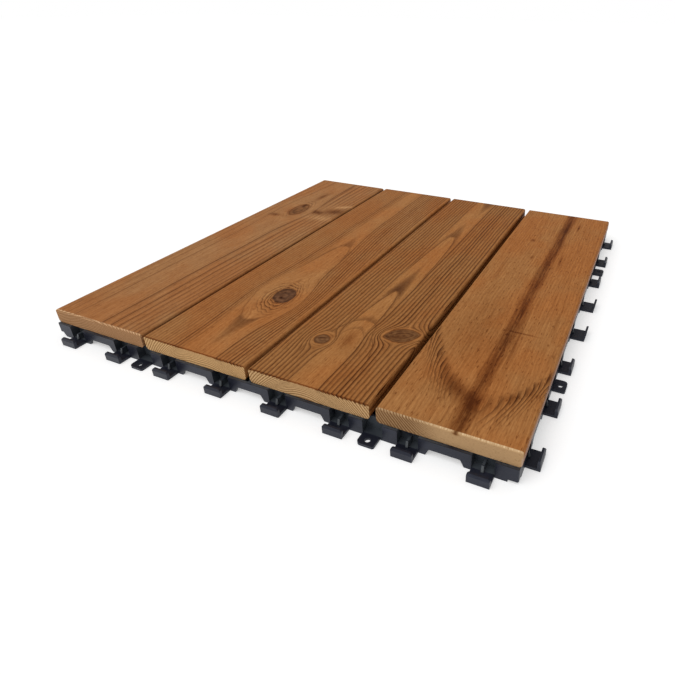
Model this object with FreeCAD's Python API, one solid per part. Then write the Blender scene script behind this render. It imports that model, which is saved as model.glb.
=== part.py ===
import FreeCAD, Part
import math
import os

# Interlocking deck tile: four softwood boards on a moulded plastic base that
# clips to the tiles beside it. Sizes are millimetres, +Z is up, X runs across
# the boards and Y along them. The origin is the middle of the base, on the ground.

# Laying grid
clip_pitch = 37.5
clips_per_side = 8
tile_pitch = clip_pitch * clips_per_side
gap_between_bases = 4.4

# Boards, and how far they stay inside the laying grid
boards_side_margin = 1.6
boards_end_margin = 4.0
board_thickness = 9.0
board_gaps = [2.4, 2.7, 3.7]
board_top_round = 1.5
board_bottom_round = 2.0
sharp_end_ease = 0.3
rounded_end_ease = 1.0

# Base
base_height = 9.0
outer_wall = 1.5
rib = 1.4
ribs_per_pitch = 2
arch_height = 3.9
arch_lean = 1.8
arch_round = 1.2
end_arch_height = 3.0
end_arch_width = 4.4
corner_round = 0.8
corner_lift = 1.5
corner_foot = 6.0
foot_beside_clip = 3.6
foot_arm = 5.0
strip_width = 10.0
strip_thickness = 1.6

# Clips and the pockets behind them
clip_width = 11.0
plate_thickness = 1.5
pocket_depth = 4.6
pocket_wall = 1.4
lip_thickness = 1.7
lip_height = 5.2
lip_clearance = 0.1
lip_bevel_height = 1.4
lip_bevel_depth = 0.6
lip_corner = 0.9
web_thickness = 1.2
web_height = 3.7
web_reach = 1.3
web_top_reach = 0.2

# The two middle clips of the right side, whose slotted lips lean outwards
hooked_clips = [4, 5]
hook_reach = 8.4
hook_lean = 0.8
hook_thickness = 1.3
hook_slot_width = 1.4
hook_slot_depth = 3.2

# Screw tabs
tab_reach = 7.0
tab_width = 9.5
tab_corner = 2.2
tab_inner_corner = 1.0
tab_hole_radius = 1.5
tab_hole_reach = 3.7
tab_after_clip = 2

# Sides that receive a neighbour's clips
receiver_side_clearance = 0.6
receiver_plate_clearance = 0.6
receiver_lip_clearance = 0.6
receiver_wall = 1.0
receiver_depth = 4.6

# Screws that hold the boards from below
screws_along = 3
screw_radius = 1.5
screw_length = 10.0
screw_tip = 1.8
head_radius = 3.2
head_height = 2.2
head_round = 0.9
recess_arm = 1.7
recess_width = 0.9
recess_depth = 1.2
boss_radius = 4.8
boss_bottom = 1.0
head_seat_thickness = 3.8
head_clearance = 0.3
shank_clearance = 0.25
pilot_end_clearance = 0.3

# Places that follow from the sizes above
base_side = tile_pitch - gap_between_bases
half_base = base_side / 2
inner_half = half_base - outer_wall
base_top = base_height
board_length = tile_pitch - 2 * boards_end_margin
board_field = tile_pitch - 2 * boards_side_margin
board_width = (board_field - sum(board_gaps)) / 4
screw_spread_across = clip_pitch
screw_spread_along = (clips_per_side - 2) * clip_pitch
lip_inner = gap_between_bases + receiver_wall + lip_clearance
lip_outer = lip_inner + lip_thickness
rib_spacing = clip_pitch / ribs_per_pitch
head_seat = base_top - head_seat_thickness
screw_end = head_seat + screw_length
receiver_height = lip_height + receiver_lip_clearance
overshoot = 1.0


def box(x0, x1, y0, y1, z0, z1):
    return Part.makeBox(x1 - x0, y1 - y0, z1 - z0, FreeCAD.Vector(x0, y0, z0))


def prism(points, direction):
    corners = [FreeCAD.Vector(*point) for point in points]
    outline = Part.makePolygon(corners + corners[:1])
    return Part.Face(outline).extrude(FreeCAD.Vector(*direction))


def quarter_turns(shape, turns):
    turned = shape.copy()
    turned.rotate(FreeCAD.Vector(0, 0, 0), FreeCAD.Vector(0, 0, 1), 90 * turns)
    return turned


def mirror_on_diagonal(shape):
    """Swap front and right sides across the line from the near right corner."""
    return shape.mirror(FreeCAD.Vector(0, 0, 0), FreeCAD.Vector(1, 1, 0))


def clip_places():
    first = -(clips_per_side - 1) / 2 * clip_pitch
    return [first + index * clip_pitch for index in range(clips_per_side)]


def tab_places():
    places = clip_places()
    beside = tab_after_clip - 1
    middle = (places[beside] + places[beside + 1]) / 2
    return [middle, -middle]


def board_centres():
    centres = []
    left = -board_field / 2
    for gap in board_gaps + [0]:
        centres.append(left + board_width / 2)
        left += board_width + gap
    return centres


def screw_places(centre):
    rows = [
        (index / (screws_along - 1) - 0.5) * screw_spread_along
        for index in range(screws_along)
    ]
    columns = [centre - screw_spread_across / 2, centre + screw_spread_across / 2]
    return [(x, y) for x in columns for y in rows]


def all_screw_places():
    return [place for centre in board_centres() for place in screw_places(centre)]


def edges_where(shape, test):
    found = []
    for edge in shape.Edges:
        ends = [vertex.Point for vertex in edge.Vertexes]
        if len(ends) == 2 and test(ends[0], ends[1]):
            found.append(edge)
    return found


def near(a, b):
    return abs(a - b) < 1e-6


def board_end_bevel(centre, sign, end_ease):
    """Cutter that takes the top edge off one end of a board."""
    end = sign * board_length / 2
    top = base_top + board_thickness
    left = centre - board_width / 2 - overshoot
    outline = [
        (left, end - sign * (end_ease + overshoot), top + overshoot),
        (left, end + sign * overshoot, top + overshoot),
        (left, end + sign * overshoot, top - end_ease - overshoot),
    ]
    return prism(outline, (board_width + 2 * overshoot, 0, 0))


def eased_board(centre, end_ease):
    """One planed board, rounded along its four long edges and cut square at its ends."""
    half = board_length / 2
    left = centre - board_width / 2
    right = centre + board_width / 2
    top = base_top + board_thickness
    blank = box(left, right, -half, half, base_top, top)
    uppers = edges_where(blank, lambda a, b: near(a.x, b.x) and near(a.z, top) and near(b.z, top))
    lowers = edges_where(blank, lambda a, b: near(a.x, b.x) and near(a.z + b.z, 2 * base_top))
    board = blank.makeFillet(board_top_round, uppers)
    board = board.common(blank.makeFillet(board_bottom_round, lowers))
    board = board.cut([board_end_bevel(centre, sign, end_ease) for sign in (-1, 1)])
    return board.cut([pilot_hole(x, y) for x, y in screw_places(centre)])


def pilot_hole(x, y):
    depth = screw_end + pilot_end_clearance - base_top
    start = FreeCAD.Vector(x, y, base_top)
    return Part.makeCylinder(screw_radius, depth, start, FreeCAD.Vector(0, 0, 1))


def placed(shape, x, y):
    copy = shape.copy()
    copy.translate(FreeCAD.Vector(x, y, 0))
    return copy


def screw():
    """A pan-head screw on the origin, head down, with a cross recess."""
    up = FreeCAD.Vector(0, 0, 1)
    head_bottom = head_seat - head_height
    head = Part.makeCylinder(head_radius, head_height, FreeCAD.Vector(0, 0, head_bottom), up)
    rim = [edge for edge in head.Edges if near(edge.BoundBox.ZMax, head_bottom)]
    head = head.makeFillet(head_round, rim)
    arm = box(
        -recess_arm, recess_arm, -recess_width / 2, recess_width / 2,
        head_bottom - overshoot, head_bottom + recess_depth,
    )
    head = head.cut(arm.fuse(quarter_turns(arm, 1)))
    shank_length = screw_length - screw_tip
    shank = Part.makeCylinder(screw_radius, shank_length, FreeCAD.Vector(0, 0, head_seat), up)
    tip_start = FreeCAD.Vector(0, 0, head_seat + shank_length)
    tip = Part.makeCone(screw_radius, 0, screw_tip, tip_start, up)
    return head.fuse([shank, tip]).removeSplitter()


def screws():
    one = screw()
    return Part.makeCompound([placed(one, x, y) for x, y in all_screw_places()])


def rounded_square(half):
    """Closed outline of a square with rounded corners, on the ground."""
    flat = half - corner_round
    middle = half - corner_round * (1 - math.sqrt(0.5))
    edges = []
    for turn in range(4):
        angle = FreeCAD.Rotation(FreeCAD.Vector(0, 0, 1), 90 * turn)
        points = [
            FreeCAD.Vector(half, -flat, 0),
            FreeCAD.Vector(half, flat, 0),
            FreeCAD.Vector(middle, middle, 0),
            FreeCAD.Vector(flat, half, 0),
        ]
        start, bend, centre, finish = [angle.multVec(point) for point in points]
        edges.append(Part.makeLine(start, bend))
        edges.append(Part.Arc(bend, centre, finish).toShape())
    return Part.Wire(edges)


def square(half):
    corners = [(-half, -half), (half, -half), (half, half), (-half, half), (-half, -half)]
    return Part.makePolygon([FreeCAD.Vector(x, y, 0) for x, y in corners])


def outer_skirt():
    """The outer wall's lower part, from the ground up to the lattice."""
    ring = Part.Face([rounded_square(half_base), square(inner_half)], "Part::FaceMakerBullseye")
    return ring.extrude(FreeCAD.Vector(0, 0, arch_height))


def lattice():
    """The crossing ribs and the outer wall's upper part, as one pierced plate."""
    count = clips_per_side * ribs_per_pitch // 2
    lines = [index * rib_spacing for index in range(-count + 1, count)]
    starts = [-inner_half] + [line + rib / 2 for line in lines]
    ends = [line - rib / 2 for line in lines] + [inner_half]
    wires = [rounded_square(half_base)]
    for x0, x1 in zip(starts, ends):
        for y0, y1 in zip(starts, ends):
            cell = [(x0, y0), (x0, y1), (x1, y1), (x1, y0), (x0, y0)]
            wires.append(Part.makePolygon([FreeCAD.Vector(x, y, arch_height) for x, y in cell]))
    wires[0].translate(FreeCAD.Vector(0, 0, arch_height))
    plate = Part.Face(wires, "Part::FaceMakerBullseye")
    return plate.extrude(FreeCAD.Vector(0, 0, base_height - arch_height))


def feet():
    """Cross-shaped feet under every second rib crossing, one in the middle."""
    count = clips_per_side // 2
    lines = [index * clip_pitch for index in range(-count + 1, count)]
    shapes = []
    for x in lines:
        for y in lines:
            shapes.append(box(x - foot_arm, x + foot_arm, y - rib / 2, y + rib / 2, 0, arch_height))
            shapes.append(box(x - rib / 2, x + rib / 2, y - foot_arm, y + foot_arm, 0, arch_height))
    return shapes


def screw_strips():
    """Flat strips across the top of the lattice, one under each row of screws."""
    rows = sorted({y for x, y in all_screw_places()})
    low = base_top - strip_thickness
    half = strip_width / 2
    return [box(-inner_half, inner_half, y - half, y + half, low, base_top) for y in rows]


def bosses():
    up = FreeCAD.Vector(0, 0, 1)
    height = base_top - boss_bottom
    return [
        Part.makeCylinder(boss_radius, height, FreeCAD.Vector(x, y, boss_bottom), up)
        for x, y in all_screw_places()
    ]


def screw_cuts():
    up = FreeCAD.Vector(0, 0, 1)
    below = boss_bottom - overshoot
    cuts = []
    for x, y in all_screw_places():
        start = FreeCAD.Vector(x, y, below)
        cuts.append(Part.makeCylinder(head_radius + head_clearance, head_seat - below, start, up))
        through = base_top + overshoot - below
        cuts.append(Part.makeCylinder(screw_radius + shank_clearance, through, start, up))
    return cuts


def pocket_block(x):
    """Solid ground around a pocket in the front wall, before it is hollowed."""
    half = clip_width / 2 + pocket_wall
    back = -half_base + pocket_depth + pocket_wall
    return box(x - half, x + half, -half_base, back, 0, base_height)


def pocket_hollow(x):
    half = clip_width / 2
    back = -half_base + pocket_depth
    return box(x - half, x + half, -half_base - overshoot, back, plate_thickness, base_top + overshoot)


def clip_pocket_hollow(x):
    return pocket_hollow(x).cut(clip_web(x))


def plate(x, width, reach):
    """The flat plate of a clip or tab, from the back of its pocket outwards."""
    left = x - clip_width / 2
    return box(left, left + width, -half_base - reach, -half_base + pocket_depth, 0, plate_thickness)


def clip_lip(x):
    """The upright lip at the end of a clip, bevelled along its outer edge."""
    outer = -half_base - lip_outer
    inner = -half_base - lip_inner
    left = x - clip_width / 2
    side = [
        (left, inner, 0),
        (left, outer, 0),
        (left, outer, lip_height - lip_bevel_height),
        (left, outer + lip_bevel_depth, lip_height),
        (left, inner, lip_height),
    ]
    lip = prism(side, (clip_width, 0, 0))
    return lip.cut([lip_corner_cut(x, sign) for sign in (-1, 1)])


def lip_corner_cut(x, sign):
    """Cutter that bevels one upper corner of a lip."""
    end = x + sign * (clip_width / 2 + overshoot)
    beyond = -half_base - lip_outer - overshoot
    size = lip_corner + overshoot
    corner = [
        (end, beyond, lip_height - size),
        (end, beyond, lip_height + overshoot),
        (end - sign * (size + overshoot), beyond, lip_height + overshoot),
    ]
    return prism(corner, (0, lip_thickness + 2 * overshoot, 0))


def hooked_lip(x):
    """The lip of a hooked clip: it leans outwards and has a slot in its middle."""
    outer = -half_base - hook_reach
    left = x - clip_width / 2
    side = [
        (left, outer + hook_thickness, 0),
        (left, outer, 0),
        (left, outer - hook_lean, lip_height),
        (left, outer - hook_lean + hook_thickness, lip_height),
    ]
    lip = prism(side, (clip_width, 0, 0))
    half = hook_slot_width / 2
    beyond = outer - hook_lean - overshoot
    inside = outer + hook_thickness + overshoot
    low = lip_height - hook_slot_depth
    return lip.cut(box(x - half, x + half, beyond, inside, low, lip_height + overshoot))


def clip_web(x):
    """The thin upright web on a clip's plate, from the back of its pocket outwards."""
    half = web_thickness / 2
    back = -half_base + pocket_depth
    top = plate_thickness + web_height
    side = [
        (x - half, back, plate_thickness),
        (x - half, -half_base - web_reach, plate_thickness),
        (x - half, -half_base - web_top_reach, top),
        (x - half, back, top),
    ]
    return prism(side, (web_thickness, 0, 0))


def screw_tab(x):
    """A flat tab with rounded corners, before its hole is drilled."""
    tab = plate(x, tab_width, tab_reach)
    end = -half_base - tab_reach
    left = x - clip_width / 2
    for side, radius in ((left, tab_corner), (left + tab_width, tab_inner_corner)):
        corner = edges_where(
            tab,
            lambda a, b: near(a.x + b.x, 2 * side) and near(a.y, end) and near(b.y, end),
        )
        tab = tab.makeFillet(radius, corner)
    return tab


def tab_hole(x):
    middle = x - clip_width / 2 + tab_width / 2
    start = FreeCAD.Vector(middle, -half_base - tab_hole_reach, -overshoot)
    height = plate_thickness + 2 * overshoot
    return Part.makeCylinder(tab_hole_radius, height, start, FreeCAD.Vector(0, 0, 1))


def side_additions(hooked_places):
    """What stands on the front wall: pockets, clips and screw tabs."""
    shapes = []
    for x in clip_places():
        shapes += [pocket_block(x), clip_web(x)]
        if x in hooked_places:
            shapes += [plate(x, clip_width, hook_reach), hooked_lip(x)]
        else:
            shapes += [plate(x, clip_width, lip_outer), clip_lip(x)]
    for x in tab_places():
        shapes += [pocket_block(x), screw_tab(x)]
    return shapes


def side_cuts():
    """What is cut from the front wall: arches, pockets and the tabs' holes."""
    cutters = wall_arches() + [near_corner_relief()]
    cutters += [clip_pocket_hollow(x) for x in clip_places()]
    for x in tab_places():
        cutters += [pocket_hollow(x), tab_hole(x)]
    return cutters


def arch(x0, x1, height):
    """Cutter for one arch under the front wall, narrower towards its rounded top."""
    outside = -half_base - overshoot
    low = -overshoot
    lean_low = -arch_lean * overshoot / height
    outline = [
        (x0 + lean_low, outside, low),
        (x1 - lean_low, outside, low),
        (x1 - arch_lean, outside, height),
        (x0 + arch_lean, outside, height),
    ]
    cutter = prism(outline, (0, -inner_half - outside, 0))
    tops = edges_where(
        cutter,
        lambda a, b: near(a.z, height) and near(b.z, height) and near(a.x, b.x),
    )
    return cutter.makeFillet(arch_round, tops)


def wall_arches():
    """Arches between the clips of the front wall, as cutters."""
    foot = clip_width / 2 + foot_beside_clip
    beyond = half_base + arch_lean + overshoot
    places = clip_places()
    cutters = [arch(-beyond, -half_base + end_arch_width, end_arch_height)]
    for left, right in zip(places, places[1:]):
        holds_tab = any(left < tab < right for tab in tab_places())
        if not holds_tab:
            cutters.append(arch(left + foot, right - foot, arch_height))
    return cutters


def near_corner_relief():
    """The front wall stands a little off the ground at the near right corner."""
    start = clip_places()[-1] + clip_width / 2 + corner_foot
    outside = half_base + overshoot
    return box(start, outside, -outside, -inner_half, -overshoot, corner_lift)


def receiver_cuts():
    """Notches and the channel in the wall that a neighbour's clips hook behind."""
    half = clip_width / 2 + receiver_side_clearance
    outside = -half_base - overshoot
    inside = -inner_half
    notch_height = plate_thickness + receiver_plate_clearance
    places = clip_places() + tab_places()
    cutters = [box(x - half, x + half, outside, inside, -overshoot, notch_height) for x in places]
    channel = -half_base + receiver_wall
    back = channel + receiver_depth
    cutters.append(box(channel, inner_half, channel, back, -overshoot, receiver_height))
    return cutters


def base():
    """The moulded base: lattice, walls, feet, clips, tabs and receiving sides."""
    places = clip_places()
    hooked_places = [-places[number - 1] for number in hooked_clips]
    front = side_additions([])
    right = [mirror_on_diagonal(shape) for shape in side_additions(hooked_places)]
    inside = feet() + screw_strips() + bosses()
    solid = lattice().fuse([outer_skirt()] + inside + front + right)
    clip_side = side_cuts()
    receiving_side = wall_arches() + receiver_cuts()
    cutters = clip_side + [mirror_on_diagonal(shape) for shape in clip_side]
    cutters += [quarter_turns(shape, -1) for shape in receiving_side]
    cutters += [quarter_turns(mirror_on_diagonal(shape), 1) for shape in receiving_side]
    return solid.cut(cutters + screw_cuts())


def save(name, shape):
    print(name, "solids", len(shape.Solids), "faces", len(shape.Faces), "volume", round(shape.Volume, 1))
    shape.exportStep(os.path.join("parts", name + ".step"))


def main():
    os.makedirs("parts", exist_ok=True)
    names = ["first_board", "second_board", "third_board", "fourth_board"]
    end_eases = [rounded_end_ease, sharp_end_ease, sharp_end_ease, rounded_end_ease]
    for name, centre, end_ease in zip(names, board_centres(), end_eases):
        save(name, eased_board(centre, end_ease))
    save("base", base())
    save("board_screws", screws())


main()
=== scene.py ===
import math

import bpy
from bpy.props import FloatProperty, FloatVectorProperty, PointerProperty
from mathutils import Matrix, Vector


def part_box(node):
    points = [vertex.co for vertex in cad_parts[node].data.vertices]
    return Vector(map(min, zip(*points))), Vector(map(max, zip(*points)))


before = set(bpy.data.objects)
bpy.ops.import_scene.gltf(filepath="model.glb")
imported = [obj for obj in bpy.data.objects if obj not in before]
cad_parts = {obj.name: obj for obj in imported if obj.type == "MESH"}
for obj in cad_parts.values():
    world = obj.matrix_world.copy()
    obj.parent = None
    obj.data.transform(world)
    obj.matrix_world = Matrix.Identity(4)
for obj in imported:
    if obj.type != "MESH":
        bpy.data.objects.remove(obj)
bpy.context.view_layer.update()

bl_info = {
    "name": "Interlocking deck tile",
    "version": (1, 0, 0),
    "blender": (4, 5, 0),
    "location": "View3D > Sidebar > Deck tile",
    "description": "Dresses the boards, the moulded base and the screws of a click-together deck tile",
    "category": "Object",
}

MM = 0.001


def linear(red, green, blue):
    """Scene-linear colour from display values of 0 to 255."""
    def one(value):
        value /= 255
        return value / 12.92 if value <= 0.04045 else ((value + 0.055) / 1.055) ** 2.4
    return one(red), one(green), one(blue)


def tinted(colour, factors):
    """A colour with each channel times its factor."""
    return tuple(channel * factor for channel, factor in zip(colour, factors))


# Shader building

# Noises: how often each changes in a millimetre along X, Y and Z, its detail and its roughness
NOISES = {
    "wander": ((1 / 60, 1 / 110, 1 / 60), 3.0, 0.5),
    "shiver": ((1 / 4, 1 / 26, 1 / 4), 2.0, 0.5),
    "fibres": ((1.5, 1 / 16, 1.5), 4.0, 0.65),
    "streaks": ((1 / 1.5, 1 / 30, 1 / 3), 3.0, 0.6),
    "grit": ((0.9, 1 / 2.6, 1), 2.0, 0.7),
    "pores": ((1.1, 1 / 5, 1), 1.0, 0.5),
    "mottle": ((1 / 2.4, 1 / 2.4, 1 / 2.4), 3.0, 0.5),
    "saw": ((1.1, 1, 3), 3.0, 0.5),
    "beads": ((1.1, 0, 0), 1.0, 0.5),
    "blotches": ((1 / 30, 1 / 45, 1 / 30), 3.0, 0.5),
    "ragged": ((0.7, 1 / 25, 0), 3.0, 0.5),
    "skin": ((3, 3, 3), 2.0, 0.5),
    "cloud": ((1 / 14, 1 / 14, 1 / 8), 3.0, 0.5),
    "zinc_cloud": ((1, 1, 1), 3.0, 0.5),
    "scratch": ((9, 1.2, 9), 2.0, 0.5),
}

# Powers of a shade in green and blue, which make a darker colour warmer
WARM_GREEN = 1.35
WARM_BLUE = 1.7


class Value:
    """One output of a shader, so that shader maths reads as an expression."""

    def __init__(self, graph, socket):
        self.graph = graph
        self.socket = socket

    def __add__(self, other):
        return self.graph.math("ADD", self, other)

    __radd__ = __add__

    def __sub__(self, other):
        return self.graph.math("SUBTRACT", self, other)

    def __rsub__(self, other):
        return self.graph.math("SUBTRACT", other, self)

    def __mul__(self, other):
        return self.graph.math("MULTIPLY", self, other)

    __rmul__ = __mul__

    def __truediv__(self, other):
        return self.graph.math("DIVIDE", self, other)

    def __rtruediv__(self, other):
        return self.graph.math("DIVIDE", other, self)

    def __pow__(self, other):
        return self.graph.math("POWER", self, other)

    def __rpow__(self, other):
        return self.graph.math("POWER", other, self)

    def __neg__(self):
        return self * -1


class Graph:
    """The nodes of a material or of the world, empty at first but for the output."""

    def __init__(self, owner, output="ShaderNodeOutputMaterial"):
        owner.use_nodes = True
        self.owner = owner
        self.tree = owner.node_tree
        self.tree.nodes.clear()
        self.output = self.tree.nodes.new(output)

    def node(self, kind, settings=None, inputs=None, output=0):
        """Add a node: its settings first, then the values or links of its sockets."""
        made = self.tree.nodes.new(kind)
        for name, setting in (settings or {}).items():
            setattr(made, name, setting)
        for name, given in (inputs or {}).items():
            if isinstance(given, Value):
                self.tree.links.new(given.socket, made.inputs[name])
            else:
                made.inputs[name].default_value = given
        return Value(self, made.outputs[output])

    def outputs(self, kind, names, inputs=None):
        """Add a node and give several of its outputs."""
        made = self.node(kind, inputs=inputs).socket.node
        return [Value(self, made.outputs[name]) for name in names]

    def show(self, shader):
        """Send a shader to the surface, and give back the material or world."""
        self.tree.links.new(shader.socket, self.output.inputs["Surface"])
        return self.owner

    def math(self, operation, *values):
        """The result of one sum or function on values or numbers."""
        return self.node("ShaderNodeMath", {"operation": operation}, dict(enumerate(values)))

    def highest(self, *values):
        """The largest of some values at each point."""
        largest = values[0]
        for value in values[1:]:
            largest = self.math("MAXIMUM", largest, value)
        return largest

    def smooth(self, value, low, high):
        """0 on low's side, 1 on high's side, and a smooth step between them."""
        inputs = {"Value": value, "From Min": low, "From Max": high}
        return self.node("ShaderNodeMapRange", {"interpolation_type": "SMOOTHSTEP"}, inputs)

    def between(self, value, rise, fall):
        """1 between a smooth step up and a smooth step down."""
        return self.smooth(value, *rise) * self.smooth(value, *fall)

    def hill(self, value, middle, width):
        """A smooth hill of height 1 around a middle, down to 0.37 at width from it."""
        away = (value - middle) / width
        return self.math("EXPONENT", away * away * -1)

    def noise(self, name, x, y, z):
        """One of the noises above, from 0 to 1, at a place in millimetres."""
        often, detail, roughness = NOISES[name]
        place = {axis: value * rate for axis, value, rate in zip("XYZ", (x, y, z), often)}
        vector = self.node("ShaderNodeCombineXYZ", inputs=place)
        inputs = {"Vector": vector, "Scale": 1.0, "Detail": detail, "Roughness": roughness}
        return self.node("ShaderNodeTexNoise", inputs=inputs)

    def mix(self, first, second, factor, blend="MIX"):
        """Blend two colours, each three numbers or a socket."""
        settings = {"data_type": "RGBA", "blend_type": blend}
        colours = [(*colour, 1.0) if isinstance(colour, tuple) else colour for colour in (first, second)]
        inputs = {0: factor, 6: colours[0], 7: colours[1]}
        return self.node("ShaderNodeMix", settings, inputs, output=2)

    def multiply(self, colour, value):
        """Shade a colour by a factor, warmer where it is darker."""
        shade = self.node(
            "ShaderNodeCombineColor",
            inputs={0: value, 1: value ** WARM_GREEN, 2: value ** WARM_BLUE},
        )
        return self.mix(colour, shade, 1.0, "MULTIPLY")

    def place(self):
        """The surface point in the object's own axes, in millimetres, as three values."""
        point = self.node("ShaderNodeTexCoord", output="Object")
        return [axis / MM for axis in self.outputs("ShaderNodeSeparateXYZ", "XYZ", {"Vector": point})]

    def finish(self, colour, roughness, height, bump_depth, **constants):
        """Principled shader with a bump of so many millimetres, as the material's surface."""
        relief = {"Strength": 1.0, "Distance": bump_depth * MM, "Height": height}
        bump = self.node("ShaderNodeBump", inputs=relief)
        inputs = {"Base Color": colour, "Roughness": roughness, "Normal": bump}
        inputs.update({name.replace("_", " "): value for name, value in constants.items()})
        return self.show(self.node("ShaderNodeBsdfPrincipled", inputs=inputs))


# Settings a user would change

class BoardSettings(bpy.types.PropertyGroup):
    """Colours of the stained boards."""

    brown: FloatVectorProperty(
        name="Brown stain", description="Early wood of the three brown boards",
        subtype="COLOR", default=linear(172, 117, 69), min=0, max=1,
    )
    orange: FloatVectorProperty(
        name="Orange stain", description="Early wood of the orange board",
        subtype="COLOR", default=linear(172, 116, 70), min=0, max=1,
    )
    late_wood: FloatVectorProperty(
        name="Late wood", description="Dark growth lines on top of the boards",
        subtype="COLOR", default=linear(70, 31, 8), min=0, max=1,
    )
    end_grain: FloatVectorProperty(
        name="End grain", description="Sawn ends that took little stain",
        subtype="COLOR", default=linear(208, 171, 124), min=0, max=1,
    )
    roughness: FloatProperty(
        name="Roughness", description="Roughness of the oiled wood",
        default=0.56, min=0, max=1, subtype="FACTOR",
    )


class BaseSettings(bpy.types.PropertyGroup):
    """Finish of the moulded base."""

    plastic: FloatVectorProperty(
        name="Plastic", description="Blue-black polypropylene",
        subtype="COLOR", default=linear(24, 26, 37), min=0, max=1,
    )
    roughness: FloatProperty(
        name="Roughness", description="Roughness of the moulded skin",
        default=0.42, min=0, max=1, subtype="FACTOR",
    )


class ScrewSettings(bpy.types.PropertyGroup):
    """Finish of the screws."""

    zinc: FloatVectorProperty(
        name="Zinc", description="Zinc plating of the screws",
        subtype="COLOR", default=linear(190, 190, 192), min=0, max=1,
    )


class StageSettings(bpy.types.PropertyGroup):
    """Floor, lamp and camera."""

    floor: FloatVectorProperty(
        name="Floor", description="Colour of the floor",
        subtype="COLOR", default=(0.86, 0.86, 0.86), min=0, max=1,
    )
    surroundings: FloatProperty(
        name="Surroundings", description="Strength of the white surroundings",
        default=0.5, min=0, max=2,
    )
    sun: FloatProperty(
        name="Soft light", description="Strength of the broad light above",
        default=1.25, min=0, max=10,
    )
    lens: FloatProperty(
        name="Lens", description="Focal length of the camera on a 36 mm sensor",
        default=27.949, min=10, max=100,
    )


# Wood: places, widths and lengths on a board are in millimetres

BOARD_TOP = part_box("first_board")[1].z / MM
BOARD_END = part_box("first_board")[1].y / MM

# How far the fine shiver moves a growth line, and how far shiver and wander move an arch
LINE_SHIVER = 0.9
ARCH_SHIVER = 2
ARCH_WANDER = 12

# A growth line: where in its ring the next one starts to darken, how far the legs of an arch fade,
# and the least and the spread of a line's strength by its ring's chance
LINE_START = 0.92
LEG_WIDTH = 0.8
FAINTEST_LINE = 0.7
LINE_SPREAD = 0.4

# Numbers that give each ring its own chance, on both sides of the heart
FIRST_RING = 50
OTHER_SIDE = 100

# Knots: how closely the grain hugs one, how pointed the ends of an eye-shaped one are, how ragged
# their rims are, the lines round them, the faint rings in their hearts and the width of the dark rim
KNOT_HUG = 3.2
EYE_POINT = 0.2
KNOT_RAGGED = 0.25
KNOT_RING_SHARPNESS = 2.6
KNOT_GROWTH = 0.12
KNOT_RIM_WIDTH = 0.11

# The least that fibres, pores and marks leave of the colour
DARKEST_SHADE = 0.25

# Factors on the stain in warm and in pale blotches
WARM_BLOTCH = (1.07, 0.95, 0.82)
PALE_BLOTCH = (1.07, 1.11, 1.12)

# Sawn ends: factors of the dark rings, their sharpness, the reach of the stain over the top edge,
# the reach and strength of the dark notch, and the reach of the painted glints on an eased edge
END_RINGS = (0.26, 0.16, 0.09)
END_SHARPNESS = 0.85
STAIN_OVER_EDGE = (BOARD_TOP - 0.7, BOARD_TOP - 0.2)
NOTCH_REACH = (BOARD_TOP - 2.6, BOARD_TOP - 1)
NOTCH_STRENGTH = 0.75
GLINT_REACH = (BOARD_TOP - 0.9, BOARD_TOP - 0.5)

# Paler wood, low on the outer side of a board: its colour, where it starts and ends, its strength
PALE_SIDE_WOOD = linear(190, 168, 158)
PALE_SIDE_REACH = (BOARD_TOP - 2.2, BOARD_TOP - 4.5)
PALE_SIDE_STRENGTH = 0.55

# Relief of the wood in millimetres, and how little its oiled face reflects
WOOD_BUMP = 0.2
WOOD_GLOSS = 0.04


class Place:
    """A point of a board in millimetres, and the noises that its patterns share."""

    def __init__(self, graph, board):
        self.graph = graph
        self.x, self.y, self.z = graph.place()
        self.depth = BOARD_TOP - self.z
        self.wander = graph.noise("wander", self.x, self.y, self.depth) - 0.5
        self.shiver = graph.noise("shiver", self.x, self.y, self.depth) - 0.5
        self.knots = [knot["shape"](self, knot["body"]) for knot in board["knots"]]
        self.rounds = [oval_distance(self, knot["round"]) for knot in board["knots"]]
        self.flowing = self.round_knots(board["knots"])
        self.aside = self.flowing - board["centre"] + self.wander * board["wander"]
        self.aside = self.aside + self.shiver * LINE_SHIVER
        if "lean" in board:
            self.aside = self.aside - board["lean"](self)
        self.fibres = graph.noise("fibres", self.flowing, self.y, self.z) - 0.5

    def round_knots(self, knots):
        """The place across the board, for a grain that flows round the knots."""
        flowing = self.x
        for distance, knot in zip(self.rounds, knots):
            outside = self.graph.highest(distance, 1.0) ** KNOT_HUG
            flowing = flowing - (self.x - knot["round"][0]) / outside * knot["push"]
        return flowing


def oval_axes(place, shape):
    """Place on an oval's own axes, 1 at its ends."""
    middle_x, middle_y, wide, long, tilt = shape
    cosine, sine = math.cos(math.radians(tilt)), math.sin(math.radians(tilt))
    x, y = place.x - middle_x, place.y - middle_y
    across = (x * cosine + y * sine) / wide
    along = (y * cosine - x * sine) / long
    return across, along


def oval(place, shape):
    """Squared distance from the middle of an oval, 1 on its rim."""
    across, along = oval_axes(place, shape)
    return across * across + along * along


def oval_distance(place, shape):
    """Distance from the middle of an oval, 1 on its rim."""
    return place.graph.math("SQRT", oval(place, shape))


def eye_distance(place, shape):
    """Distance from the middle of an eye shape, pointed at both ends of its wide direction."""
    across, along = oval_axes(place, shape)
    return place.graph.math("SQRT", along * along + EYE_POINT ** 2) - EYE_POINT + across * across


def blot(place, shape, strength):
    """A soft spot of stain."""
    return place.graph.math("EXPONENT", oval(place, shape) * -1) * strength


def late_profile(graph, phase, sharpness):
    """Late wood in a ring: dark at its inner edge, fading outwards."""
    fraction = graph.math("FRACT", phase)
    fading = (1 - fraction) ** sharpness
    return graph.highest(fading, graph.smooth(fraction, LINE_START, 1.0))


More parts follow.
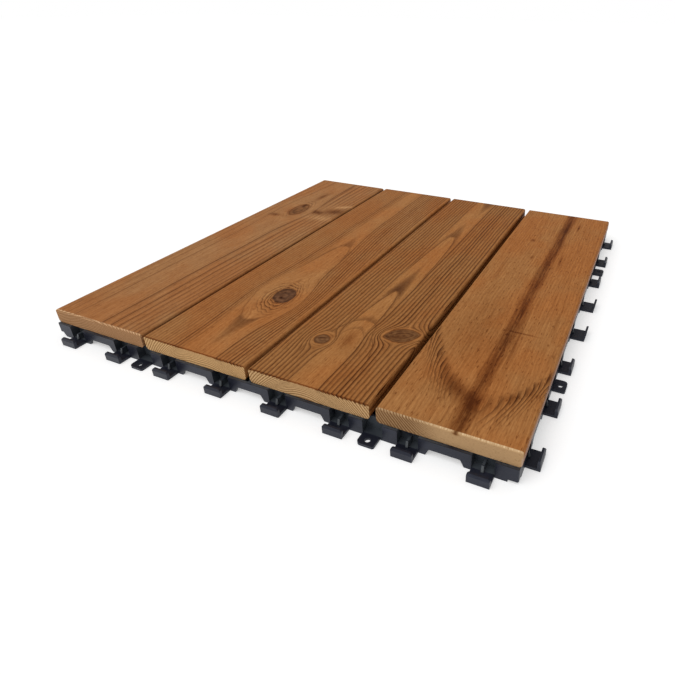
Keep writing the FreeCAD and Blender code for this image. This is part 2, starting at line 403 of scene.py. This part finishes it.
def at_place(setting, place):
    """A board's setting, either a number or a function of the place."""
    return setting(place) if callable(setting) else setting


def arch_legs(graph, arch, up, away):
    """The dark line of an arch, whose two legs run down both sides of a board's middle."""
    line = graph.math("EXPONENT", graph.highest(away, 0) / -LEG_WIDTH) * graph.smooth(away, -0.4, 0.3)
    legs = graph.smooth(up, -arch["legs"], -arch["legs"] * 0.6) * graph.smooth(up, 0, -arch["blend"])
    return line * legs * arch["leg_strength"]


def arch_flame(graph, arch, up, aside, rise, away):
    """The pointed flame of late wood beyond an arch."""
    half = arch["flame_width"]
    height = graph.highest((1 - aside / half) * arch["flame"] + rise, 0.5)
    body = graph.highest(1 - (up + rise) / height, 0) ** 0.75
    body = graph.math("MINIMUM", body, 1) * graph.smooth(away, -1.8, 1.6)
    body = body * graph.smooth(aside, half * 1.15, half * 0.85)
    body = body * graph.smooth(up, arch["flame"] * -0.4, 0)
    return body * arch["strength"]


def flame(place, arch):
    """A blunt arch in the plain middle of a board, its legs, and a pointed flame beyond it."""
    graph = place.graph
    up = place.y + place.shiver * ARCH_SHIVER + place.wander * ARCH_WANDER
    up = (up - arch["y"]) * arch["way"]
    middle = place.aside if arch["follows"] else place.x + place.shiver * 0.8
    aside = graph.math("ABSOLUTE", middle - arch["x"])
    spread = aside / arch["narrow"]
    rise = spread ** arch["blunt"]
    slope = rise / graph.highest(spread, 0.05) * (arch["blunt"] / arch["narrow"])
    away = (up + rise) / graph.math("SQRT", slope * slope + 1)
    return graph.highest(arch_legs(graph, arch, up, away), arch_flame(graph, arch, up, aside, rise, away))


def growth_lines(place, board):
    """Rings round the heart of the log as they meet the surface, and their phase."""
    graph, aside = place.graph, place.aside
    square = aside * aside - place.depth * (2 * board["heart_depth"])
    size = graph.math("SQRT", graph.math("ABSOLUTE", square) + board["core"] ** 2)
    phase = square / size / board["spacing"] + board["offset"] + FIRST_RING
    number = graph.math("FLOOR", phase) + graph.math("SIGN", aside) * OTHER_SIDE
    chance = graph.node("ShaderNodeTexWhiteNoise", {"noise_dimensions": "1D"}, {"W": number})
    sharpness = at_place(board["sharpness"], place)
    lines = late_profile(graph, phase, sharpness) * (chance * LINE_SPREAD + FAINTEST_LINE)
    fine = late_profile(graph, phase * 2 + 0.4, sharpness * 0.9) * board["fine"]
    lines = graph.highest(lines, fine) * at_place(board["line_strength"], place)
    return graph.highest(lines, *[flame(place, arch) for arch in board["flames"]]), phase


def rings_round_knots(place, board, lines):
    """Close rings round each knot take the place of the straight lines there."""
    graph = place.graph
    for distance, body, knot in zip(place.rounds, place.knots, board["knots"]):
        uneven = distance + place.shiver * 0.3 + place.wander * 0.8
        rings = late_profile(graph, uneven * knot["rings"], KNOT_RING_SHARPNESS)
        near = graph.smooth(distance, 1.15, 0.55) * graph.smooth(body, 0.95, 1.1)
        lines = lines * graph.smooth(distance, 0.85, 1.05)
        lines = graph.highest(lines, rings * near * knot["ring_strength"])
    return lines


def add_knots(place, board, colour):
    """The dark, mottled hearts of the knots, each with a darker rim."""
    graph = place.graph
    mottle = graph.noise("mottle", place.x, place.y, place.z)
    for distance, knot in zip(place.knots, board["knots"]):
        ragged = distance + place.shiver * KNOT_RAGGED + place.fibres * KNOT_RAGGED
        inside = graph.smooth(ragged, 1.06, 0.9) * knot["strength"]
        growth = graph.math("SINE", ragged * (knot["growth"] * 2 * math.pi)) * KNOT_GROWTH + mottle
        heart = graph.mix(knot["dark"], knot["pale"], graph.smooth(growth, 0.25, 0.75))
        colour = graph.mix(colour, heart, inside)
        colour = graph.multiply(colour, graph.hill(ragged, 1.0, KNOT_RIM_WIDTH) * -knot["rim"] + 1)
    return colour


def stain_shade(place, board):
    """Fibres, streaks, grit, pores and marks, as a factor near 1 on the colour, and the pores alone."""
    graph, flowing, y, z = place.graph, place.flowing, place.y, place.z
    streaks = graph.noise("streaks", flowing, y, z)
    grit = graph.noise("grit", flowing, y, z)
    pore = graph.smooth(graph.noise("pores", flowing, y, z), 0.62, 0.72)
    shade = place.fibres * board["fibre"] + (streaks - 0.5) * board["streak"] + 1
    shade = shade + (grit - 0.5) * board["grit"] - pore * board["pores"]
    for *shape, strength in board["marks"]:
        shade = shade - blot(place, shape, strength) * (place.fibres * 2.4 + 1)
    return shade, pore


def sawn_end(place, board, settings, phase, pore):
    """Pale end grain with the rings on it."""
    graph = place.graph
    rings = late_profile(graph, phase * board["end_lines"], END_SHARPNESS)
    pale = tinted(settings.end_grain, board["end_tint"])
    strength = board["end_strength"] * graph.smooth(place.x, *board["end_fade"])
    colour = graph.mix(pale, tinted(pale, END_RINGS), rings * strength)
    saw = graph.noise("saw", place.x, place.y, place.z)
    shade = (saw - 0.5) * 0.3 + 1 - pore * 0.12
    if "notch" in board:
        notch = graph.hill(place.x, *board["notch"]) * graph.smooth(place.z, *NOTCH_REACH)
        shade = shade - notch * NOTCH_STRENGTH
    return graph.multiply(colour, shade)


def painted_edge_glints(place):
    """Factor on the eased top edge of an end, where the light catches it in places."""
    graph = place.graph
    beads = graph.noise("beads", place.x, place.y, place.z)
    return graph.smooth(place.z, *GLINT_REACH) * (graph.smooth(beads, 0.4, 0.65) * 0.5 + 0.1) + 1


def add_ends(place, board, settings, colour, lines, phase, pore):
    """Sawn ends: some have a pale eased edge with painted glints, others a dark jagged stained one."""
    graph = place.graph
    along = graph.math("ABSOLUTE", place.y)
    eased = board["eased"]
    at_end = graph.smooth(along, BOARD_END - eased - 0.2, BOARD_END - eased)
    teeth = place.z + place.fibres * 1.3 + lines
    stained = graph.smooth(teeth, *STAIN_OVER_EDGE) * board["edge_stain"]
    end = sawn_end(place, board, settings, phase, pore)
    if eased:
        # Painted glints where the light catches the eased top edge
        end = graph.multiply(end, painted_edge_glints(place))
    colour = graph.mix(colour, end, at_end * (1 - stained))
    if "pale_side" in board:
        # Paler colour low on the outer side of the board
        low = graph.smooth(place.z + place.fibres * 2, *PALE_SIDE_REACH)
        paler_side = graph.smooth(place.x, *board["pale_side"]) * low * PALE_SIDE_STRENGTH
        colour = graph.mix(colour, PALE_SIDE_WOOD, paler_side)
    dark_rim = graph.smooth(along, BOARD_END - 1.0, BOARD_END - 0.1) * stained * -0.55 + 1
    return graph.multiply(colour, dark_rim), at_end


def stained_wood(place, board, stain):
    """The stain on early wood, in warm and pale blotches."""
    graph = place.graph
    stain = tinted(stain, board["stain_tint"])
    blotches = graph.noise("blotches", place.x, place.y, place.z)
    warm, pale = tinted(stain, WARM_BLOTCH), tinted(stain, PALE_BLOTCH)
    return graph.mix(warm, pale, graph.smooth(blotches, 0.35, 0.65))


def wood(name, stain, board, settings):
    """Stained softwood with growth lines, fibres, knots and pale sawn ends."""
    graph = Graph(bpy.data.materials.new(name))
    place = Place(graph, board)
    lines, phase = growth_lines(place, board)
    lines = rings_round_knots(place, board, lines)
    shade, pore = stain_shade(place, board)
    if "extra" in board:
        more_lines, more_shade = board["extra"](place)
        lines = graph.highest(lines, more_lines)
        shade = shade - more_shade
    colour = graph.mix(stained_wood(place, board, stain), tuple(settings.late_wood), lines)
    colour = add_knots(place, board, colour)
    colour = graph.multiply(colour, graph.highest(shade, DARKEST_SHADE))
    colour, at_end = add_ends(place, board, settings, colour, lines, phase, pore)
    height = lines * 0.5 + place.fibres * 0.8 - pore * 0.4
    roughness = settings.roughness + place.fibres * 0.18 + at_end * 0.2
    return graph.finish(colour, roughness, height, WOOD_BUMP, Specular_IOR_Level=WOOD_GLOSS)


def dress(node, material):
    """Give a CAD node its material."""
    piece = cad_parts[node]
    piece.data.materials.clear()
    piece.data.materials.append(material)


def dress_board(node, stain, board, settings):
    """Give a board its own wood."""
    dress(node, wood(node.replace("_", " ") + " wood", stain, board, settings))


def first_board_lines(place):
    """Clearer lines on the right-hand part of the first board, and very faint ones in its far patch."""
    right = place.graph.smooth(place.x, -114, -106)
    patch = 1 - blot(place, (-92, 64, 16, 14, 0), 0.8)
    return (right * 0.25 + 0.55) * patch


def first_board_sharpness(place):
    """The wide rings on the left of the first board still have thin lines."""
    return place.graph.smooth(place.x, -104, -116) * 12 + 6.5


def second_board_lines(place):
    """Clear lines on the right of the second board, two strong ones left of its plain middle."""
    graph, aside = place.graph, place.aside
    plain = graph.smooth(graph.math("ABSOLUTE", aside), 4.5, 7.5)
    right = graph.smooth(aside, 0, 5)
    left_pair = graph.hill(aside, -11.5, 2.4)
    edge = graph.smooth(place.x, -5.0, -2.6) * -0.85 + 1
    return plain * edge * (right * 0.48 + 0.5 + left_pair * 0.6)


def second_board_lean(place):
    """The lines on the right of the second board slant towards its near right corner."""
    graph = place.graph
    near = graph.smooth(place.y, 70, -60)
    return near * graph.smooth(place.x, -44, -30) * 9


def third_board_lines(place):
    """Strong lines on both sides of the plain middle of the third board."""
    graph, aside = place.graph, place.aside
    plain = graph.smooth(graph.math("ABSOLUTE", aside), 6.5, 9)
    right = graph.smooth(aside, 0, 8)
    return plain * (right * 0.15 + 0.88)


CURL_MIDDLE = 121.0
CURL_LOW = -121.0
CURL_REACH = 9.5
CURL_SPACING = 2.8
STRIPE_MIDDLE = 117.0


def fourth_board_curl(place):
    """Crowded lines at the near end of the fourth board, bent aside along a U-shaped dark band."""
    graph, shiver = place.graph, place.shiver
    side = place.x - CURL_MIDDLE
    steepness = graph.smooth(side, -5, 5) * 0.02 + 0.027
    under = place.y - (side * side * steepness + CURL_LOW) + shiver * 6
    below = graph.hill(graph.math("MINIMUM", under + 3, 0), 0, 17)
    above = graph.hill(graph.highest(under - 1, 0), 0, 11)
    bent = side - graph.math("TANH", (side + 3) / 9) * below * above * CURL_REACH
    lines = late_profile(graph, (bent + shiver * 3) / CURL_SPACING + FIRST_RING, 2.0)
    near = graph.smooth(under, -30, -6) * graph.smooth(under, 9, -4) * 0.9 + 0.12
    near = near * graph.smooth(under, 8, 1) * (1 - graph.hill(side, -7, 14) * 0.85)
    band = graph.hill(under, -3, 6.5) * (graph.hill(side, -11, 16) * 0.34 + 0.03)
    glow = graph.hill(under, 8, 6) * graph.hill(side, -12, 16) * 0.12
    return lines * near, band - glow


def fourth_board_extra(place):
    """The dark stripe down the fourth board, and the curl at its near end."""
    graph = place.graph
    lines, shade = fourth_board_curl(place)
    ragged = graph.noise("ragged", place.x, place.y, place.z)
    middle = place.x - STRIPE_MIDDLE + place.shiver * 2 + place.wander * 3
    near_end = graph.smooth(place.y, -120, -135)
    half = near_end * 0.6 + 4.2
    stripe = graph.math("EXPONENT", (middle / half) ** 4 * -1) * (ragged * 0.6 + 0.5)
    core = graph.hill(middle, 0.8, 1.3) * graph.smooth(ragged, 0.35, 0.6) * 0.24
    far_end = graph.smooth(place.y, 60, 120) * 0.1 + 0.54
    return lines, shade + stripe * far_end + core * (1 - near_end * 0.3)


# Each board's pattern. An oval is its middle x and y, its half width and half length, and its tilt in
# degrees. A mark is an oval and its strength, below 0 for a pale one. An arch stands at x and y, from
# the board's centre line where it follows the grain, and points to the far end where its way is 1.

FIRST_BOARD = {
    "centre": -120.0, "wander": 5.0, "core": 60.0, "spacing": 3.4, "heart_depth": 60.0, "offset": 0.35,
    "stain_tint": (0.93, 0.97, 1.09), "sharpness": first_board_sharpness, "fine": 0.3,
    "fibre": 0.7, "streak": 0.55, "grit": 0.45, "pores": 0.2,
    "line_strength": first_board_lines,
    "flames": [],
    "knots": [
        {"shape": oval_distance,
         "body": (-117.5, 60.0, 6.5, 14.0, 4.0), "round": (-117.5, 62.0, 11.0, 26.0, 4.0),
         "push": 1.0, "rings": 5.0, "ring_strength": 0.6, "growth": 1.5, "strength": 0.9, "rim": 0.45,
         "dark": linear(96, 58, 30), "pale": linear(138, 90, 52)},
    ],
    "marks": [
        (-119, 70, 1.6, 3.6, 0, 0.6), (-118, 97, 2.6, 11.0, 0, 0.5), (-130, 41, 5.5, 3.0, 0, 0.5),
        (-85, 67, 9.0, 6.5, 25, 0.6), (-97, 60, 5.0, 3.5, -30, 0.6), (-82, 82, 8.0, 2.6, 35, -0.6),
        (-86, 49, 12.0, 4.5, 5, -0.3), (-101, 60, 1.2, 6.0, 10, 0.45), (-105, 110, 0.9, 30.0, 3, 0.4),
    ],
    "end_tint": (0.98, 0.87, 0.88), "end_lines": 1.6, "end_strength": 0.8, "end_fade": (-149, -148),
    "eased": 0.8, "edge_stain": 0.0,
}
SECOND_BOARD = {
    "centre": -38.0, "wander": 4.0, "core": 3.0, "spacing": 2.35, "heart_depth": 22.0, "offset": 0.2,
    "stain_tint": (0.97, 0.95, 0.92), "sharpness": 3.0, "fine": 0.42,
    "fibre": 0.7, "streak": 0.5, "grit": 0.55, "pores": 0.2,
    "line_strength": second_board_lines, "lean": second_board_lean,
    "flames": [
        {"x": 1.0, "y": 7.0, "way": 1, "follows": True, "narrow": 1.9, "blunt": 3.0,
         "legs": 60.0, "blend": 8.0, "leg_strength": 0.7,
         "flame": 24.0, "flame_width": 3.6, "strength": 0.5},
        {"x": -33.5, "y": -57.0, "way": 1, "follows": False, "narrow": 2.6, "blunt": 2.0,
         "legs": 12.0, "blend": 1.0, "leg_strength": 0.8,
         "flame": 7.0, "flame_width": 2.4, "strength": 0.6},
        {"x": -33.0, "y": -108.0, "way": -1, "follows": False, "narrow": 3.1, "blunt": 2.0,
         "legs": 45.0, "blend": 2.0, "leg_strength": 0.45,
         "flame": 32.0, "flame_width": 7.0, "strength": 0.62},
    ],
    "knots": [
        {"shape": oval_distance,
         "body": (-29.5, -76.0, 7.3, 9.6, 15.0), "round": (-31.0, -78.0, 14.0, 24.0, 6.0),
         "push": 0.8, "rings": 8.0, "ring_strength": 0.9, "growth": 2.0, "strength": 0.95, "rim": 0.2,
         "dark": linear(72, 44, 29), "pale": linear(112, 75, 50)},
    ],
    "marks": [(-30, -79, 1.2, 1.2, 0, 0.9), (-31.5, -77, 12, 20, 0, -0.08), (-64, 0, 9, 160, 0, 0.04)],
    "end_tint": (1.5, 1.52, 1.48), "end_lines": 1.2, "end_strength": 0.95, "end_fade": (-75, -74),
    "eased": 0.0, "edge_stain": 1.0,
}
THIRD_BOARD = {
    "centre": 35.0, "wander": 3.0, "core": 2.0, "spacing": 2.6, "heart_depth": 25.0, "offset": -0.35,
    "stain_tint": (0.95, 0.91, 0.83), "sharpness": 2.3, "fine": 0.36,
    "fibre": 0.7, "streak": 0.5, "grit": 0.55, "pores": 0.2,
    "line_strength": third_board_lines,
    "flames": [
        {"x": 0.0, "y": 57.0, "way": 1, "follows": True, "narrow": 1.9, "blunt": 3.0,
         "legs": 95.0, "blend": 7.0, "leg_strength": 0.9,
         "flame": 38.0, "flame_width": 6.0, "strength": 0.62},
        {"x": 0.0, "y": -41.0, "way": 1, "follows": True, "narrow": 1.3, "blunt": 2.2,
         "legs": 62.0, "blend": 7.0, "leg_strength": 1.0,
         "flame": 45.0, "flame_width": 6.4, "strength": 0.85},
        {"x": 1.0, "y": -81.0, "way": 1, "follows": True, "narrow": 4.6, "blunt": 2.6,
         "legs": 60.0, "blend": 0.5, "leg_strength": 0.85,
         "flame": 8.0, "flame_width": 9.0, "strength": 0.55},
        {"x": 0.5, "y": -91.0, "way": 1, "follows": True, "narrow": 3.2, "blunt": 2.2,
         "legs": 22.0, "blend": 0.5, "leg_strength": 0.45,
         "flame": 4.0, "flame_width": 6.0, "strength": 0.4},
        {"x": 3.0, "y": 152.0, "way": -1, "follows": True, "narrow": 4.0, "blunt": 3.0,
         "legs": 5.0, "blend": 1.0, "leg_strength": 0.6,
         "flame": 42.0, "flame_width": 7.0, "strength": 0.7},
    ],
    "knots": [
        {"shape": eye_distance,
         "body": (61.0, -87.0, 10.8, 5.8, 27.0), "round": (61.0, -87.0, 12.0, 8.0, 27.0),
         "push": 0.8, "rings": 6.0, "ring_strength": 0.5, "growth": 2.6, "strength": 0.9, "rim": 0.4,
         "dark": linear(84, 50, 28), "pale": linear(124, 84, 50)},
        {"shape": oval_distance,
         "body": (21.0, -108.0, 4.6, 4.6, 0.0), "round": (21.0, -108.0, 6.4, 8.5, 0.0),
         "push": 0.9, "rings": 4.0, "ring_strength": 0.6, "growth": 2.0, "strength": 0.85, "rim": 0.35,
         "dark": linear(84, 54, 34), "pale": linear(124, 86, 56)},
    ],
    "marks": [(58, -90, 6.0, 1.2, 20, 0.4), (20, -107, 3.2, 0.7, 20, 0.5), (35, -103, 3.2, 8, 6, 0.34)],
    "end_tint": (1.42, 1.46, 1.48), "end_lines": 1.25, "end_strength": 1.0, "end_fade": (0, 0.1),
    "eased": 0.0, "edge_stain": 1.0,
}
FOURTH_BOARD = {
    "centre": 117.0, "wander": 10.0, "core": 5.0, "spacing": 2.1, "heart_depth": -25.0, "offset": 0.1,
    "stain_tint": (0.98, 0.96, 0.85), "sharpness": 1.8, "fine": 0.3,
    "fibre": 0.75, "streak": 0.6, "grit": 0.46, "pores": 0.36,
    "line_strength": 0.22, "extra": fourth_board_extra,
    "flames": [],
    "knots": [],
    "marks": [
        (126.5, 119, 1.0, 7.0, 0, 0.5), (97, 78, 1.6, 3.0, 0, 0.45), (104, 46, 1.2, 3.0, 0, 0.4),
        (125, 48, 1.0, 9.0, 0, 0.45), (99, -60, 13.0, 40.0, 0, 0.14), (106, -115, 8.0, 6.0, -35, 0.2),
        (123, -65, 1.2, 30.0, 2, 0.3), (134, -114, 4.0, 2.5, 30, 0.25), (125, -57.5, 7.0, 0.7, 0, 0.45),
        (140, -40, 1.0, 16.0, 0, 0.25), (88, 20, 1.2, 20.0, 0, 0.2), (141, -106, 2.5, 3.5, 0, 0.25),
        (132, -140, 16.0, 14.0, 0, -0.1), (92, -138, 14.0, 12.0, 0, -0.08),
    ],
    "end_tint": (0.82, 0.78, 0.78), "end_lines": 1.3, "end_strength": 1.0, "end_fade": (112, 92),
    "eased": 0.8, "edge_stain": 0.0, "notch": (117.0, 1.4), "pale_side": (147.4, 148.2),
}


# Base and screws

BASE_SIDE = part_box("base")[1].y / MM

# Where the webs' painted highlights and the pockets' painted light lie, in millimetres out from the walls
# and up
WEB_OUT = ((0.05, 0.3), (2.2, 2.0))
WEB_UP = (1.7, 2.4)
POCKET_OUT = ((-5.5, -4.7), (-0.1, -0.4))

DUST = linear(58, 60, 74)
# Painted highlight colour for the webs' front edges
WEB_HIGHLIGHT = linear(150, 155, 156)
# Painted light for the pockets: a paler colour that lifts their shade
POCKET_PAINTED_LIGHT = linear(78, 84, 88)
COOL_GLOSS = (0.8, 0.85, 1.0, 1.0)
DUST_STRENGTH = 0.35
WEB_HIGHLIGHT_STRENGTH = 0.7
POCKET_LIGHT_STRENGTH = 0.6

# Relief of the moulded skin and of the scratches in the zinc, in millimetres
SKIN_BUMP = 0.03
ZINC_BUMP = 0.01


def plastic(settings):
    """Satin moulded plastic with dust, painted highlights on the webs' edges and painted light in the
    pockets.
    """
    graph = Graph(bpy.data.materials.new("moulded plastic"))
    x, y, z = graph.place()
    skin = graph.noise("skin", x, y, z)
    cloud = graph.noise("cloud", x, y, z)
    dust = graph.smooth(cloud, 0.5, 0.75) * DUST_STRENGTH
    out = graph.highest(x, -y) - BASE_SIDE
    # Painted highlight along the webs' front edges, patchy by the cloud
    painted_web_highlight = graph.between(out, *WEB_OUT) * graph.smooth(z, *WEB_UP) * cloud * WEB_HIGHLIGHT_STRENGTH
    # Painted light in the pockets behind the walls, lifting their shade, patchy by the cloud
    painted_pocket_light = graph.between(out, *POCKET_OUT) * graph.smooth(cloud, 0.2, 0.6) * POCKET_LIGHT_STRENGTH
    colour = graph.mix(tuple(settings.plastic), DUST, dust)
    colour = graph.mix(colour, WEB_HIGHLIGHT, painted_web_highlight)
    colour = graph.mix(colour, POCKET_PAINTED_LIGHT, painted_pocket_light)
    roughness = settings.roughness + (skin - 0.5) * 0.12 + dust * 0.15
    gloss = {"Specular_IOR_Level": 0.4, "Specular_Tint": COOL_GLOSS}
    return graph.finish(colour, roughness, skin, SKIN_BUMP, **gloss)


def zinc(settings):
    """Zinc plating with tiny scratches and a slight cloudiness."""
    graph = Graph(bpy.data.materials.new("zinc plating"))
    x, y, z = graph.place()
    scratch = graph.noise("scratch", x, y, z)
    colour = graph.mix(tuple(settings.zinc), linear(158, 156, 146), graph.noise("zinc_cloud", x, y, z))
    roughness = scratch * 0.2 + 0.28
    return graph.finish(colour, roughness, scratch, ZINC_BUMP, Metallic=1.0)


# Stage: places and sizes in metres, the sensor's width in millimetres, angles in degrees

CAMERA_PLACE = (0.177356, -0.310283, 0.187813)
CAMERA_HEADING = 22.478
CAMERA_DIP = 27.815
CAMERA_ROLL = 0.566
CAMERA_SHIFT = (-0.15349, -0.08765)
SENSOR_WIDTH = 36.0
NEAREST_SEEN = 0.01
FLOOR_SIZE = 12.0
SUN_SPREAD = 60
SUN_HEADING = -20
SUN_TILT = 35

# The painted shadow on the floor in the closed space under the tile, in millimetres from its middle:
# how far it reaches, how far the camera sees in under the arches of the clip sides, and its soft edge
UNDER_TILE = 147.5
SEEN_UNDER_ARCHES = 5.5
SOFT_EDGE = 0.6
# Painted shadow colour of the floor under the tile
PAINTED_FLOOR_SHADOW = (0.01, 0.01, 0.01)
FLOOR_GLOW = 0.36
WHITE = (1.0, 1.0, 1.0, 1.0)


def turn(degrees, axis):
    """A turn about one axis."""
    return Matrix.Rotation(math.radians(degrees), 3, axis)


def add_camera(settings):
    """The camera, where the photograph was taken from."""
    rotation = turn(CAMERA_HEADING, "Z") @ turn(90 - CAMERA_DIP, "X") @ turn(CAMERA_ROLL, "Z")
    bpy.ops.object.camera_add(location=CAMERA_PLACE, rotation=rotation.to_euler())
    camera = bpy.context.object
    camera.name = "photo_camera"
    camera.data.lens = settings.lens
    camera.data.sensor_width = SENSOR_WIDTH
    camera.data.shift_x, camera.data.shift_y = CAMERA_SHIFT
    camera.data.clip_start = NEAREST_SEEN
    bpy.context.scene.camera = camera


def seen_directly(graph):
    """1 for what the camera sees, straight or in a gloss or through glass."""
    rays = ("Is Camera Ray", "Is Glossy Ray", "Is Transmission Ray")
    return graph.highest(*graph.outputs("ShaderNodeLightPath", rays))


def floor_material(settings):
    """Pale floor that shows white, with a painted shadow in the closed space under the tile."""
    graph = Graph(bpy.data.materials.new("pale floor"))
    x, y = graph.place()[:2]
    across = graph.highest(-x, y, graph.highest(x, -y) + SEEN_UNDER_ARCHES)
    outside_painted_shadow = graph.smooth(across, UNDER_TILE - SOFT_EDGE, UNDER_TILE)
    # Painted shadow: the floor is near black in the closed space under the tile
    colour = graph.mix(PAINTED_FLOOR_SHADOW, tuple(settings.floor), outside_painted_shadow)
    diffuse = graph.node("ShaderNodeBsdfDiffuse", inputs={"Color": colour})
    white = graph.node("ShaderNodeEmission", inputs={"Strength": FLOOR_GLOW})
    glowing = graph.node("ShaderNodeAddShader", inputs={0: diffuse, 1: white})
    seen = seen_directly(graph) * outside_painted_shadow
    return graph.show(graph.node("ShaderNodeMixShader", inputs={0: seen, 1: diffuse, 2: glowing}))


def add_floor(settings):
    """A wide floor, which isn't part of the tile."""
    bpy.ops.mesh.primitive_plane_add(size=FLOOR_SIZE)
    floor = bpy.context.object
    floor.name = "floor"
    floor.data.materials.append(floor_material(settings))


def add_surroundings(settings):
    """White surroundings, brighter to the camera than their light on the tile."""
    world = bpy.data.worlds.new("white studio")
    bpy.context.scene.world = world
    graph = Graph(world, "ShaderNodeOutputWorld")
    straight = graph.node("ShaderNodeLightPath", output="Is Camera Ray")
    light, seen = [
        graph.node("ShaderNodeBackground", inputs={"Color": WHITE, "Strength": strength})
        for strength in (settings.surroundings, 1.0)
    ]
    graph.show(graph.node("ShaderNodeMixShader", inputs={0: straight, 1: light, 2: seen}))


def add_sun(settings):
    """One broad soft light from above."""
    bpy.ops.object.light_add(type="SUN", location=(0, 0, 1))
    sun = bpy.context.object
    sun.name = "soft_sun"
    sun.data.energy = settings.sun
    sun.data.angle = math.radians(SUN_SPREAD)
    sun.rotation_euler = (turn(SUN_HEADING, "Z") @ turn(SUN_TILT, "X")).to_euler()


# Operators

class DECKTILE_OT_first_board(bpy.types.Operator):
    """Dress the first board, with its long knot and wide rings"""

    bl_idname = "decktile.first_board"
    bl_label = "First board"

    def execute(self, context):
        settings = context.scene.decktile_boards
        dress_board("first_board", settings.brown, FIRST_BOARD, settings)
        return {"FINISHED"}


class DECKTILE_OT_second_board(bpy.types.Operator):
    """Dress the second board, with its round knot and flame"""

    bl_idname = "decktile.second_board"
    bl_label = "Second board"

    def execute(self, context):
        settings = context.scene.decktile_boards
        dress_board("second_board", settings.brown, SECOND_BOARD, settings)
        return {"FINISHED"}


class DECKTILE_OT_third_board(bpy.types.Operator):
    """Dress the third board, with its flames and two knots"""

    bl_idname = "decktile.third_board"
    bl_label = "Third board"

    def execute(self, context):
        settings = context.scene.decktile_boards
        dress_board("third_board", settings.brown, THIRD_BOARD, settings)
        return {"FINISHED"}


class DECKTILE_OT_fourth_board(bpy.types.Operator):
    """Dress the fourth board, smooth and orange with a curly near end"""

    bl_idname = "decktile.fourth_board"
    bl_label = "Fourth board"

    def execute(self, context):
        settings = context.scene.decktile_boards
        dress_board("fourth_board", settings.orange, FOURTH_BOARD, settings)
        return {"FINISHED"}


class DECKTILE_OT_base(bpy.types.Operator):
    """Dress the moulded base"""

    bl_idname = "decktile.base"
    bl_label = "Base"

    def execute(self, context):
        dress("base", plastic(context.scene.decktile_base))
        return {"FINISHED"}


class DECKTILE_OT_screws(bpy.types.Operator):
    """Dress the screws under the boards"""

    bl_idname = "decktile.screws"
    bl_label = "Screws"

    def execute(self, context):
        dress("board_screws", zinc(context.scene.decktile_screws))
        return {"FINISHED"}


class DECKTILE_OT_stage(bpy.types.Operator):
    """Add the floor, the surroundings, the soft light and the camera"""

    bl_idname = "decktile.stage"
    bl_label = "Stage"

    def execute(self, context):
        settings = context.scene.decktile_stage
        add_floor(settings)
        add_surroundings(settings)
        add_sun(settings)
        add_camera(settings)
        context.scene.view_settings.view_transform = "Standard"
        return {"FINISHED"}


OPERATORS = [
    DECKTILE_OT_first_board, DECKTILE_OT_second_board, DECKTILE_OT_third_board,
    DECKTILE_OT_fourth_board, DECKTILE_OT_base, DECKTILE_OT_screws, DECKTILE_OT_stage,
]

SETTINGS = {
    "decktile_boards": BoardSettings,
    "decktile_base": BaseSettings,
    "decktile_screws": ScrewSettings,
    "decktile_stage": StageSettings,
}


class DECKTILE_PT_panel(bpy.types.Panel):
    """The tile's pieces and their settings"""

    bl_idname = "DECKTILE_PT_panel"
    bl_label = "Deck tile"
    bl_space_type = "VIEW_3D"
    bl_region_type = "UI"
    bl_category = "Deck tile"

    def draw(self, context):
        for name in SETTINGS:
            group = getattr(context.scene, name)
            box = self.layout.box()
            for prop in group.__annotations__:
                box.prop(group, prop)
        for operator in OPERATORS:
            self.layout.operator(operator.bl_idname)


def register():
    for settings in SETTINGS.values():
        bpy.utils.register_class(settings)
    for name, settings in SETTINGS.items():
        setattr(bpy.types.Scene, name, PointerProperty(type=settings))
    for operator in OPERATORS:
        bpy.utils.register_class(operator)
    bpy.utils.register_class(DECKTILE_PT_panel)


def unregister():
    bpy.utils.unregister_class(DECKTILE_PT_panel)
    for operator in reversed(OPERATORS):
        bpy.utils.unregister_class(operator)
    for name in SETTINGS:
        delattr(bpy.types.Scene, name)
    for settings in reversed(SETTINGS.values()):
        bpy.utils.unregister_class(settings)


def main():
    register()
    bpy.ops.decktile.first_board()
    bpy.ops.decktile.second_board()
    bpy.ops.decktile.third_board()
    bpy.ops.decktile.fourth_board()
    bpy.ops.decktile.base()
    bpy.ops.decktile.screws()
    bpy.ops.decktile.stage()


if __name__ == "__main__":
    main()
